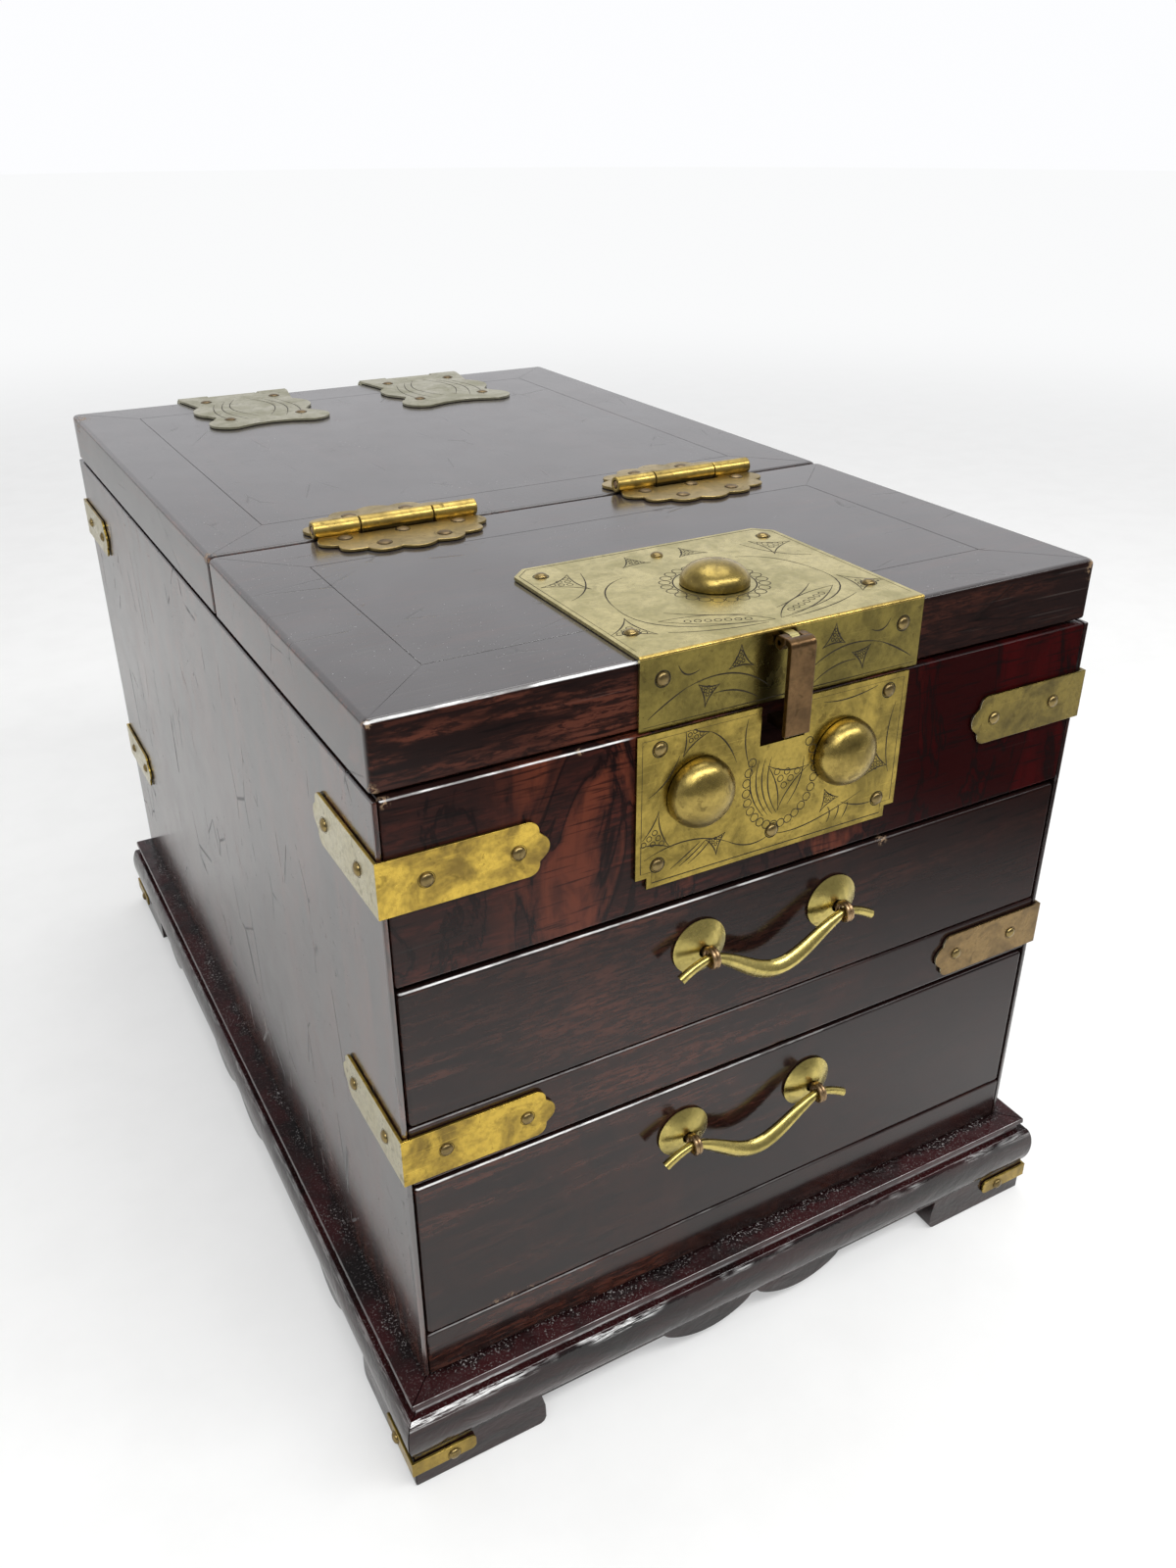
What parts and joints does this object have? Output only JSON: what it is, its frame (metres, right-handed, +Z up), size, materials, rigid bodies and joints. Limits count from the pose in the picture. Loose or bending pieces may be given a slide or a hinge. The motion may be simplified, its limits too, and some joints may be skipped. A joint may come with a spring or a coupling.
{
  "type": "vanity box",
  "caption": "Dark lacquered wooden vanity box with two drawers, a folding two-part lid over a tray, and brass hinges, corner brackets and lock.",
  "frame": {"origin": "centre of the bounding box on the floor under the feet", "axes": "+Z up, -Y towards the drawers, +X to the right as seen from the front, +Y the longest way, from the drawers to the rear hinges"},
  "size_m": [0.274, 0.4108, 0.2789],
  "materials": {
    "lacquered_wood": "glossy dark lacquer, worn",
    "red_wood": "glossy red-brown lacquer",
    "drawer_wood": "plain planed wood",
    "aged_brass": "aged, mottled sheet",
    "dull_brass": "dull, grey-green sheet",
    "bright_brass": "handled, semi-bright",
    "copper_brass": "coppery brown, pitted",
    "mirror_glass": "silvered glass"
  },
  "bodies": {
    "case": {"left_side_panel": "lacquered_wood", "right_side_panel": "lacquered_wood", "back_panel": "lacquered_wood", "middle_rail": "lacquered_wood", "bottom_rail": "lacquered_wood", "tray_floor": "lacquered_wood", "base_front": "lacquered_wood", "base_left": "lacquered_wood", "base_right": "lacquered_wood", "base_back": "lacquered_wood", "top_rail": "red_wood", "dust_board": "drawer_wood", "bottom_board": "drawer_wood", "front_left_upper_bracket": "aged_brass", "front_left_middle_bracket": "aged_brass", "front_right_upper_bracket": "aged_brass", "front_right_middle_bracket": "aged_brass", "rear_left_upper_bracket": "aged_brass", "rear_left_lower_bracket": "aged_brass", "rear_right_upper_bracket": "aged_brass", "rear_right_lower_bracket": "aged_brass", "front_left_foot_strap": "aged_brass", "front_right_foot_strap": "aged_brass", "rear_left_foot_strap": "aged_brass", "rear_right_foot_strap": "aged_brass", "lower_lock_plate": "aged_brass", "left_lock_dome": "bright_brass", "right_lock_dome": "bright_brass", "left_rear_hinge_case_leaf": "dull_brass", "right_rear_hinge_case_leaf": "dull_brass"},
    "rear_lid": {"rear_lid_frame": "lacquered_wood", "rear_lid_panel": "lacquered_wood", "mirror": "mirror_glass", "left_lid_hinge_rear_leaf": "aged_brass", "right_lid_hinge_rear_leaf": "aged_brass", "left_lid_hinge_pin": "bright_brass", "right_lid_hinge_pin": "bright_brass", "left_rear_hinge_lid_leaf": "dull_brass", "right_rear_hinge_lid_leaf": "dull_brass", "left_rear_hinge_pin": "dull_brass", "right_rear_hinge_pin": "dull_brass"},
    "front_lid": {"front_lid_frame": "lacquered_wood", "front_lid_panel": "lacquered_wood", "left_lid_hinge_front_leaf": "aged_brass", "right_lid_hinge_front_leaf": "aged_brass", "lid_lock_plate": "dull_brass", "lid_dome": "bright_brass"},
    "hasp": {"hasp": "copper_brass"},
    "upper_drawer": {"upper_drawer_front": "lacquered_wood", "upper_drawer_sides": "drawer_wood", "upper_drawer_bottom": "drawer_wood", "upper_pull_left_post": "bright_brass", "upper_pull_right_post": "bright_brass"},
    "lower_drawer": {"lower_drawer_front": "lacquered_wood", "lower_drawer_sides": "drawer_wood", "lower_drawer_bottom": "drawer_wood", "lower_pull_left_post": "bright_brass", "lower_pull_right_post": "bright_brass"},
    "upper_pull": {"upper_pull_bail": "bright_brass"},
    "lower_pull": {"lower_pull_bail": "bright_brass"}
  },
  "joints": [
    {"name": "rear_lid_hinge", "type": "hinge", "parent": "case", "child": "rear_lid", "pos_m": [0, 0.2024, 0.2681], "axis": [-1, 0, 0], "range_deg": [0, 110]},
    {"name": "front_lid_hinge", "type": "hinge", "parent": "rear_lid", "child": "front_lid", "pos_m": [0, -0.0479, 0.2736], "axis": [-1, 0, 0], "range_deg": [0, 174]},
    {"name": "hasp_hinge", "type": "hinge", "parent": "front_lid", "child": "hasp", "pos_m": [0, -0.1956, 0.2681], "axis": [-1, 0, 0], "range_deg": [0, 85]},
    {"name": "upper_drawer_slide", "type": "slide", "parent": "case", "child": "upper_drawer", "axis": [0, -1, 0], "range_m": [0, 0.28]},
    {"name": "lower_drawer_slide", "type": "slide", "parent": "case", "child": "lower_drawer", "axis": [0, -1, 0], "range_m": [0, 0.28]},
    {"name": "upper_pull_swing", "type": "hinge", "parent": "upper_drawer", "child": "upper_pull", "pos_m": [0, -0.2009, 0.1723], "axis": [-1, 0, 0], "range_deg": [-12, 110]},
    {"name": "lower_pull_swing", "type": "hinge", "parent": "lower_drawer", "child": "lower_pull", "pos_m": [-0.0031, -0.2009, 0.0984], "axis": [-1, 0, 0], "range_deg": [-12, 110]}
  ]
}
